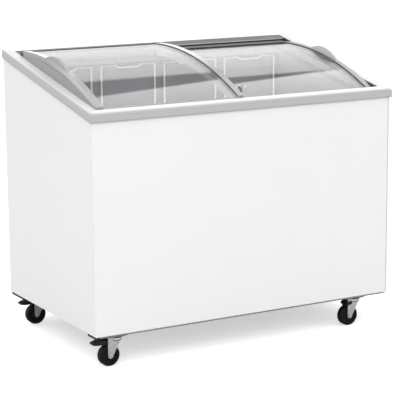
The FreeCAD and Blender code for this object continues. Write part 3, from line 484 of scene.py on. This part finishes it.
# Nodes whose finish differs from the rest of their slot, most of them for painted light and shade
SPECIAL = {
    "rear_track": "track_bands",
    "right_side_wall": "side_bands",
    "top_frame": "rim_bands",
    "trim_band": "trim_bands",
    "left_lid_handle": "handle_painted_shade",
    "left_lid_outer_profile": "profile_end",
    "left_lid_inner_profile": "profile_middle",
    "right_lid_outer_profile": "profile_right",
    "left_lid_rear_runner": "runner_dark",
    "right_lid_rear_runner": "runner_dark",
    "caster_plates": "plate_painted_shade",
    "front_caster_rail": "rail_painted_shade",
    "rear_caster_rail": "rail_painted_shade",
    "rail_end_caps": "end_caps",
}


def dress_nodes():
    slots = {row["node"]: row["material_slot"] for row in frame["record"]["subparts"]}
    for name, made in nodes.items():
        made.data.materials.clear()
        made.data.materials.append(materials[SPECIAL.get(name, slots[name])])


# Building blocks for the pieces that the CAD leaves plain
ARCH_STEPS = 48
STRIP_SHOULDER = 0.7
WIRE_ROUNDNESS = 3
SAME_SPOT = 1e-6


def add_piece(name, data, finish, body):
    made = bpy.data.objects.new(name, data)
    data.materials.append(materials[finish])
    bpy.context.scene.collection.objects.link(made)
    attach(made, body)
    return made


def mesh_of(name, points, faces, smooth_below=35):
    mesh = bpy.data.meshes.new(name)
    mesh.from_pydata([tuple(point) for point in points], [], faces)
    shape = bmesh.new()
    shape.from_mesh(mesh)
    bmesh.ops.recalc_face_normals(shape, faces=shape.faces)
    shape.to_mesh(mesh)
    shape.free()
    mesh.polygons.foreach_set("use_smooth", [True] * len(mesh.polygons))
    mesh.set_sharp_from_angle(angle=math.radians(smooth_below))
    return mesh


def loft(rings, closed=False):
    """Points and faces of a skin over rings of equal length, capped unless it closes on itself."""
    count = len(rings[0])
    points = [point for ring in rings for point in ring]
    faces = []
    steps = len(rings) if closed else len(rings) - 1
    for step in range(steps):
        low = step * count
        high = (step + 1) % len(rings) * count
        for index in range(count):
            after = (index + 1) % count
            faces.append((low + index, low + after, high + after, high + index))
    if not closed:
        faces.append(tuple(range(count)))
        faces.append(tuple(range(len(points) - count, len(points))))
    return points, faces


def turned(name, centre, profile, sides, closed=False):
    """A solid turned about the y axis: its profile lists radius and height."""
    rings = []
    for radius, height in profile:
        ring = []
        for index in range(sides):
            angle = 2 * math.pi * index / sides
            offset = Vector((radius * math.cos(angle), height, radius * math.sin(angle)))
            ring.append(Vector(centre) + offset)
        rings.append(ring)
    return mesh_of(name, *loft(rings, closed))


def on_deck(x, along, above):
    return Vector(
        (
            x,
            along * SLOPE_COSINE - above * SLOPE_SINE,
            DECK_HEIGHT + along * SLOPE_SINE + above * SLOPE_COSINE,
        )
    )


def arch_height(rise, along):
    offset = along + LID_FORWARD
    return rise - LID_RADIUS + math.sqrt(LID_RADIUS * LID_RADIUS - offset * offset)


def arch_strip(name, left, right, rise, low, high, front, rear):
    """A strip that follows a lid's arch, with a rounded top."""
    rings = []
    middle = (left + right) / 2
    shoulder = low + (high - low) * STRIP_SHOULDER
    section = ((left, low), (right, low), (right, shoulder), (middle, high), (left, shoulder))
    for step in range(ARCH_STEPS + 1):
        along = front + (rear - front) * step / ARCH_STEPS
        level = arch_height(rise, along)
        rings.append([on_deck(x, along, level + above) for x, above in section])
    return mesh_of(name, *loft(rings), smooth_below=50)


def wires(name, paths, radius):
    """Round wires along paths of points; a path that ends where it starts is a ring."""
    data = bpy.data.curves.new(name, "CURVE")
    data.dimensions = "3D"
    data.bevel_depth = radius
    data.bevel_resolution = WIRE_ROUNDNESS
    data.use_fill_caps = True
    for path in paths:
        ring = (path[0] - path[-1]).length < SAME_SPOT
        kept = path[:-1] if ring else path
        spline = data.splines.new("POLY")
        spline.points.add(len(kept) - 1)
        spline.use_cyclic_u = ring
        spline.use_smooth = True
        for point, spot in zip(spline.points, kept):
            point.co = (*spot, 1)
    return data


def rounded(corners, radius, steps=6):
    """A closed path whose corners are rounded."""
    path = []
    count = len(corners)
    for index, corner in enumerate(corners):
        before = (corners[index - 1] - corner).normalized()
        after = (corners[(index + 1) % count] - corner).normalized()
        start = corner + before * radius
        end = corner + after * radius
        for step in range(steps + 1):
            t = step / steps
            path.append(start * (1 - t) ** 2 + corner * 2 * t * (1 - t) + end * t ** 2)
    return path + path[:1]


# Wire baskets: a tall ring behind, a low one in front, rims between them and thin wires
BASKETS = 4
FRAME_WIRE = 0.0031
THIN_WIRE = 0.0012
WIRE_PITCH = 0.045
NOTCH_HALF = 0.039
NOTCH_DEPTH = 0.008
NOTCH_SLANT = 0.004
CORNER = 0.008


def spread(low, high):
    count = max(2, round((high - low) / WIRE_PITCH))
    return [low + (high - low) * (index + 1) / count for index in range(count - 1)]


def grid(first, second, place):
    """Thin wires both ways over a flat wall, where place turns two measures into a point."""
    paths = [[place(step, second[0]), place(step, second[1])] for step in spread(*first)]
    paths += [[place(first[0], step), place(first[1], step)] for step in spread(*second)]
    return paths


def make_basket(name):
    low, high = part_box(name)
    spots = [nodes[name].matrix_world @ corner.co for corner in nodes[name].data.vertices]
    left, right = low[0] + FRAME_WIRE, high[0] - FRAME_WIRE
    front, rear = low[1] + FRAME_WIRE, high[1] - FRAME_WIRE
    base, top = low[2] + FRAME_WIRE, high[2] - FRAME_WIRE
    centre = (left + right) / 2
    rim = max(spot.z for spot in spots if spot.y < low[1] + FRAME_WIRE) - FRAME_WIRE
    dip = top - NOTCH_DEPTH
    tall = [
        (left, base),
        (left, top),
        (centre - NOTCH_HALF - NOTCH_SLANT, top),
        (centre - NOTCH_HALF + NOTCH_SLANT, dip),
        (centre + NOTCH_HALF - NOTCH_SLANT, dip),
        (centre + NOTCH_HALF + NOTCH_SLANT, top),
        (right, top),
        (right, base),
    ]
    short = [(left, base), (left, rim), (right, rim), (right, base)]
    heavy = [
        rounded([Vector((x, rear, z)) for x, z in tall], NOTCH_SLANT),
        rounded([Vector((x, front, z)) for x, z in short], CORNER),
    ]
    for x in (left, right):
        for z in (rim, base):
            heavy.append([Vector((x, front, z)), Vector((x, rear, z))])
    frame_wires = wires(f"{name}_frame_wires", heavy, FRAME_WIRE)
    frame_piece = add_piece(f"{name}_frame_wires", frame_wires, "basket_wire", name)
    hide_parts(name)
    thin = [[Vector((left, rear, rim)), Vector((right, rear, rim))]]
    for y in (front, rear):
        thin += grid((left, right), (base, rim), lambda x, z: Vector((x, y, z)))
    for x in (left, right):
        thin += grid((front, rear), (base, rim), lambda y, z: Vector((x, y, z)))
    thin += grid((left, right), (front, rear), lambda x, y: Vector((x, y, base)))
    thin_wires = wires(f"{name}_thin_wires", thin, THIN_WIRE)
    add_piece(f"{name}_thin_wires", thin_wires, "basket_wire", name)


# Dark seals where the glass meets the lids' profiles
SEAL_WIDTH = 0.0025
SEAL_RISE = 0.0016
SEAL_END = 0.004


def make_seals():
    rows = (("left_lid", "inner_profile", UPPER_RISE), ("right_lid", "outer_profile", LOWER_RISE))
    for lid, profile, rise in rows:
        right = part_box(f"{lid}_{profile}")[0][0]
        glass_low, glass_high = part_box(f"{lid}_glass")
        front = (glass_low[1] + SEAL_END) / SLOPE_COSINE
        rear = (glass_high[1] - SEAL_END) / SLOPE_COSINE
        name = f"{lid}_{profile}_seal"
        strip = arch_strip(name, right - SEAL_WIDTH, right, rise, 0.0, SEAL_RISE, front, rear)
        add_piece(name, strip, "seal", lid)


# Brush along the left cheek, which closes the gap to the upper lid's end
BRUSH_LOW = -0.0158
BRUSH_HIGH = -0.0122
BRUSH_REACH = 0.004
BRUSH_GAP = 0.0002


def make_brush():
    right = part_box("left_lid_outer_profile")[0][0] - BRUSH_GAP
    left = right - BRUSH_REACH
    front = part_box("right_lid_glass")[0][1] / SLOPE_COSINE
    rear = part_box("right_lid_glass")[1][1] / SLOPE_COSINE
    brush = arch_strip("cheek_brush", left, right, UPPER_RISE, BRUSH_LOW, BRUSH_HIGH, front, rear)
    add_piece("cheek_brush", brush, "cheek_grey", "cabinet")


# Dark half-moon sheets under the glass, on the inner faces of the handle profiles: painted shade under the
# handles
SHADE_SHEET_REACH = 0.062
SHADE_SHEET_TOP = -0.0046
SHADE_SHEET_DEPTH = 0.010
SHADE_SHEET_THICK = 0.0008
SHADE_SHEET_STEPS = 24
SHADE_SHEET_TRIM = 0.02


def make_shade_sheets():
    rows = (("left_lid", UPPER_RISE, 1), ("right_lid", LOWER_RISE, -1))
    for lid, rise, side in rows:
        low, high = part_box(f"{lid}_outer_profile")
        face = high[0] if side > 0 else low[0]
        proud = face + side * SHADE_SHEET_THICK
        rings = []
        for step in range(SHADE_SHEET_STEPS + 1):
            angle = math.pi * (SHADE_SHEET_TRIM + (1 - 2 * SHADE_SHEET_TRIM) * step / SHADE_SHEET_STEPS)
            along = -LID_FORWARD - SHADE_SHEET_REACH * math.cos(angle)
            top = arch_height(rise, along) + SHADE_SHEET_TOP
            bottom = top - SHADE_SHEET_DEPTH * math.sin(angle)
            section = ((face, bottom), (proud, bottom), (proud, top), (face, top))
            rings.append([on_deck(x, along, above) for x, above in section])
        name = f"{lid}_painted_half_moon"
        add_piece(name, mesh_of(name, *loft(rings)), "painted_shade_sheet", lid)


# Casters: round wheels by radius and half width
WHEEL_SIDES = 96
WHEEL_EDGE = 0.0005
WHEEL_EDGE_STEPS = 3
WHEEL_PROFILE = [
    (0.0043, 0.0120),
    (0.0100, 0.0120),
    (0.0104, 0.0096),
    (0.0130, 0.0092),
    (0.0150, 0.0098),
    (0.0210, 0.0094),
    (0.0222, 0.0120),
    (0.0285, 0.0120),
    (0.0315, 0.0086),
]

# Axle nuts, with shares of their radius and thickness for the bevels
NUT_REACH = 0.011
NUT_THICK = 0.003
NUT_BEVEL = 0.86
NUT_LOW = 0.15
NUT_HIGH = 0.8
NUT_SIDES = 6

# The kingpin's distance from the axle, and the thickness of the fork's top
TRAIL = 0.022
PLATE = 0.0027

# Ball race of a caster's swivel and dark rings above and below it, painted shade round the race, by radius
# and level
RACE_PROFILE = [(0.0165, 0.0), (0.0195, 0.0), (0.0208, 0.0023), (0.0195, 0.0046), (0.0165, 0.0046)]
RACE_SHADE_RING_PROFILE = [(0.0165, 0.0), (0.0206, 0.0), (0.0212, 0.0009), (0.0206, 0.0018), (0.0165, 0.0018)]
RACE_DROP = 0.0088
RACE_SPREAD = math.radians(40)
RACE_STEPS = 24

# Pressed ribs on the fork's legs: section across and proud, then share of height and of section
RIB_FOOT = 0.010
RIB_HEIGHT = 0.032
RIB_SHIFT = 0.002
RIB_LEAN = 0.007
RIB_SECTION = ((-0.002, 0), (-0.001, 0.0008), (0.001, 0.0008), (0.002, 0))
RIB_ENDS = ((0.0, 0.2), (0.06, 1.0), (0.94, 1.0), (1.0, 0.2))

# Guards over the right wheels: outline round the axle, and shares for the bevels at their ends
GUARD_HALF = 0.0172
GUARD_BEVEL = 0.15
GUARD_END = 0.96
GUARD_OUTLINE = [
    (-0.0105, 0.0320),
    (-0.0142, 0.0360),
    (-0.0135, 0.0395),
    (-0.0060, 0.0468),
    (0.0070, 0.0468),
    (0.0075, 0.0372),
    (-0.0050, 0.0352),
]


def make_wheel(corner):
    low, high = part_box(f"{corner}_wheel")
    axle = [(first + second) / 2 for first, second in zip(low, high)]
    outline = WHEEL_PROFILE + [(radius, -across) for radius, across in reversed(WHEEL_PROFILE)]
    corners = [Vector((radius, across, 0)) for radius, across in outline]
    path = rounded(corners, WHEEL_EDGE, WHEEL_EDGE_STEPS)
    profile = [(spot.x, spot.y) for spot in path[:-1]]
    name = f"{corner}_round_wheel"
    wheel = turned(name, axle, profile, WHEEL_SIDES, closed=True)
    piece = add_piece(name, wheel, "black_rubber", f"{corner}_wheel")
    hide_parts(f"{corner}_wheel")
    return Vector(axle)


def make_nuts(corner, axle, fork_low, fork_high):
    half = NUT_REACH / 2
    bevel = half * NUT_BEVEL
    profile = [(bevel, 0.0), (half, NUT_THICK * NUT_LOW), (half, NUT_THICK * NUT_HIGH), (bevel, NUT_THICK)]
    for label, y in (("near", fork_low[1] - NUT_THICK), ("far", fork_high[1])):
        name = f"{corner}_{label}_nut"
        nut = turned(name, (axle.x, y, axle.z), profile, NUT_SIDES)
        add_piece(name, nut, "galvanised", f"{corner}_swivel")


def race_ring(name, centre, profile):
    """The two parts of a ring outside the fork's legs, so that a brake lever tips between them."""
    spots = []
    faces = []
    for side in (-1, 1):
        rings = []
        for step in range(RACE_STEPS + 1):
            angle = side * math.pi / 2 + RACE_SPREAD * (2 * step / RACE_STEPS - 1)
            out = Vector((math.cos(angle), math.sin(angle), 0))
            rings.append([centre + radius * out + Vector((0, 0, level)) for radius, level in profile])
        more_spots, more_faces = loft(rings)
        faces += [[index + len(spots) for index in face] for face in more_faces]
        spots += more_spots
    return mesh_of(name, spots, faces)


def make_race(corner, axle, fork_high):
    low = fork_high[2] - PLATE - RACE_DROP
    rows = (
        ("ball_race", RACE_PROFILE, low, "zinc", "galvanised"),
        # The rings take the black seal finish as painted shade round the race
        ("upper_shade_ring", RACE_SHADE_RING_PROFILE, low + RACE_PROFILE[-1][1], "seal", "black_rubber"),
        ("lower_shade_ring", RACE_SHADE_RING_PROFILE, low - RACE_SHADE_RING_PROFILE[-1][1], "seal", "black_rubber"),
    )
    for label, profile, level, finish, slot in rows:
        name = f"{corner}_{label}"
        ring = race_ring(name, Vector((axle.x + TRAIL, axle.y, level)), profile)
        add_piece(name, ring, finish, f"{corner}_swivel")


def make_ribs(corner, axle, fork_low, fork_high):
    for label, y, side in (("near", fork_low[1], -1), ("far", fork_high[1], 1)):
        rings = []
        for share, reach in RIB_ENDS:
            x = axle.x + RIB_SHIFT + RIB_LEAN * share
            level = axle.z + RIB_FOOT + RIB_HEIGHT * share
            section = [(x + reach * across, y + side * reach * proud) for across, proud in RIB_SECTION]
            rings.append([Vector((*spot, level)) for spot in section])
        name = f"{corner}_{label}_rib"
        rib = mesh_of(name, *loft(rings), smooth_below=60)
        add_piece(name, rib, "galvanised", f"{corner}_swivel")


def make_guard(corner, axle):
    corners = [Vector((x, 0, z)) for x, z in GUARD_OUTLINE]
    middle = sum(corners, Vector()) / len(corners)
    inset = GUARD_HALF - GUARD_BEVEL * GUARD_HALF
    ends = ((-GUARD_HALF, GUARD_END), (-inset, 1.0), (inset, 1.0), (GUARD_HALF, GUARD_END))
    rings = []
    for across, share in ends:
        centre = axle + middle + Vector((0, across, 0))
        rings.append([centre + (spot - middle) * share for spot in corners])
    name = f"{corner}_guard"
    guard = mesh_of(name, *loft(rings))
    add_piece(name, guard, "black_plastic", f"{corner}_swivel")


def make_caster(corner):
    axle = make_wheel(corner)
    fork_low, fork_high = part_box(f"{corner}_fork")
    make_nuts(corner, axle, fork_low, fork_high)
    make_race(corner, axle, fork_high)
    make_ribs(corner, axle, fork_low, fork_high)
    if corner.endswith("right"):
        make_guard(corner, axle)


# Fold of the right panel, which shows as a fine line down the front: a grey strip, painted shade of the
# folded edge
FOLD_WIDTH = 0.0022
FOLD_INSET = 0.0042
FOLD_PROUD = 0.0003
FOLD_SLANT = 0.2


def make_fold():
    low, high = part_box("front_panel")
    right = high[0] - FOLD_INSET
    left = right - FOLD_WIDTH
    slant = FOLD_WIDTH * FOLD_SLANT
    face = low[1]
    proud = face - FOLD_PROUD
    section = ((left, face), (left + slant, proud), (right - slant, proud), (right, face))
    levels = (low[2] + FOLD_INSET, high[2] - FOLD_INSET)
    rings = [[Vector((x, y, z)) for x, y in section] for z in levels]
    fold = mesh_of("right_panel_fold", *loft(rings))
    add_piece("right_panel_fold", fold, "trim_grey", "cabinet")


# Black stops under the left ends of the caster rails
STOP_LENGTH = 0.010
STOP_DROP = 0.004
STOP_ROUND = 0.0008


def make_stops():
    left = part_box("rail_end_caps")[0][0]
    for end in ("front", "rear"):
        low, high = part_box(f"{end}_caster_rail")
        rings = []
        for inset, drop in ((0.0, 0.0), (0.0, STOP_DROP - STOP_ROUND), (STOP_ROUND, STOP_DROP)):
            near, far = low[1] + inset, high[1] - inset
            first, last = left + inset, left + STOP_LENGTH - inset
            level = low[2] - drop
            corners = ((first, near), (last, near), (last, far), (first, far))
            rings.append([Vector((x, y, level)) for x, y in corners])
        name = f"{end}_left_rail_stop"
        add_piece(name, mesh_of(name, *loft(rings)), "end_caps", "cabinet")


# Floor: what it looks like to the camera, and what it throws back as light
FLOOR_REACH = 30.0
FLOOR_DROP = 0.0005
FLOOR_SHADE = 0.72
FLOOR_GLOW = 0.52
FLOOR_BOUNCE = 0.7


def make_floor():
    mesh = bpy.data.meshes.new("floor")
    corners = [(x * FLOOR_REACH, y * FLOOR_REACH, 0) for x, y in ((-1, -1), (1, -1), (1, 1), (-1, 1))]
    mesh.from_pydata(corners, [], [(0, 1, 2, 3)])
    floor = bpy.data.objects.new("floor", mesh)
    floor.location.z = -FLOOR_DROP
    bpy.context.scene.collection.objects.link(floor)
    tree = material("floor")
    bounce = tree.add("ShaderNodeBsdfDiffuse")
    bounce.inputs["Color"].default_value = grey(FLOOR_BOUNCE)
    matte = tree.add("ShaderNodeBsdfDiffuse")
    matte.inputs["Color"].default_value = grey(FLOOR_SHADE)
    glow = tree.add("ShaderNodeEmission")
    glow.inputs["Strength"].default_value = FLOOR_GLOW
    seen = tree.add("ShaderNodeAddShader")
    tree.fill_in_order(seen, (matte.outputs["BSDF"], glow.outputs["Emission"]))
    is_camera = tree.add("ShaderNodeLightPath").outputs["Is Camera Ray"]
    mix = tree.mixed_shader(is_camera, bounce.outputs["BSDF"], seen.outputs["Shader"])
    tree.feed(mix, tree.output.inputs["Surface"])
    mesh.materials.append(tree.owner)


# What the glass mirrors: a white backdrop, a dark gap over it, and a bright panel beside the gap
GAP_EDGE = (0.0282, -0.7185, 0.6950)
PANEL_EDGE = (-0.6428, 0.7541, -0.1345)
BACKDROP_FOOT = 1.22
BACKDROP_TOP = 1.6
BACKDROP_RAMP = (0.1, 0.6)
GAP_SHADE = 0.24
PANEL_SHADE = 2.6
BEHIND = 0.25
EDGE_BLUR = 0.004

# Light from the surroundings: level at the horizon, and what is added straight overhead
HORIZON_LIGHT = 0.2
OVERHEAD_LIGHT = 1.8


def make_world():
    world = bpy.data.worlds.new("studio")
    bpy.context.scene.world = world
    tree = ShaderTree(world, "ShaderNodeOutputWorld", "Generated")
    axes = tree.axes(tree.where)

    def step(source, middle=0.0):
        return tree.ranged(source, middle - EDGE_BLUR, middle + EDGE_BLUR)

    def past(edge):
        made = tree.add("ShaderNodeVectorMath", operation="DOT_PRODUCT")
        tree.fill_in_order(made, (tree.where, edge))
        return step(made.outputs["Value"])

    def choose(factor, first, second):
        return tree.mixed(factor, first, second, "FLOAT")

    backdrop = tree.ranged(axes["Z"], *BACKDROP_RAMP, BACKDROP_FOOT, BACKDROP_TOP)
    ceiling = choose(past(PANEL_EDGE), PANEL_SHADE, GAP_SHADE)
    behind = choose(step(axes["Y"], BEHIND), backdrop, ceiling)
    mirrored = choose(past(GAP_EDGE), backdrop, behind)
    ambient = tree.ranged(axes["Z"], 0.0, 1.0, HORIZON_LIGHT, HORIZON_LIGHT + OVERHEAD_LIGHT)
    path = tree.add("ShaderNodeLightPath").outputs
    lit = choose(path["Is Glossy Ray"], ambient, mirrored)
    light = tree.add("ShaderNodeBackground")
    tree.fill(light, {"Color": WHITE, "Strength": choose(path["Is Camera Ray"], lit, 1.0)})
    tree.feed(light.outputs["Background"], tree.output.inputs["Surface"])


# Lamps: place, width, height and watts
LAMP_TARGET = (0, 0, 0.4)
LAMPS = {
    "key": ((-4.2, -5.8, 4.2), 4.8, 4.0, 185),
    "fill": ((4.2, -4.6, 1.6), 3.0, 2.0, 16),
}


def make_lamp(name, place, width, height, watts):
    data = bpy.data.lights.new(name, "AREA")
    data.shape = "RECTANGLE"
    data.size = width
    data.size_y = height
    data.energy = watts
    lamp = bpy.data.objects.new(name, data)
    lamp.location = place
    lamp.rotation_euler = (Vector(LAMP_TARGET) - Vector(place)).to_track_quat("-Z", "Y").to_euler()
    lamp.visible_glossy = False
    bpy.context.scene.collection.objects.link(lamp)


make_camera()
materials = make_materials()
dress_nodes()
for number in range(1, BASKETS + 1):
    make_basket(f"basket_{number}")
make_fold()
make_stops()
make_seals()
make_brush()
make_shade_sheets()
for corner in ("front_left", "front_right", "rear_left", "rear_right"):
    make_caster(corner)
make_floor()
make_world()
for name, settings in LAMPS.items():
    make_lamp(name, *settings)
bpy.context.scene.view_settings.view_transform = "Standard"
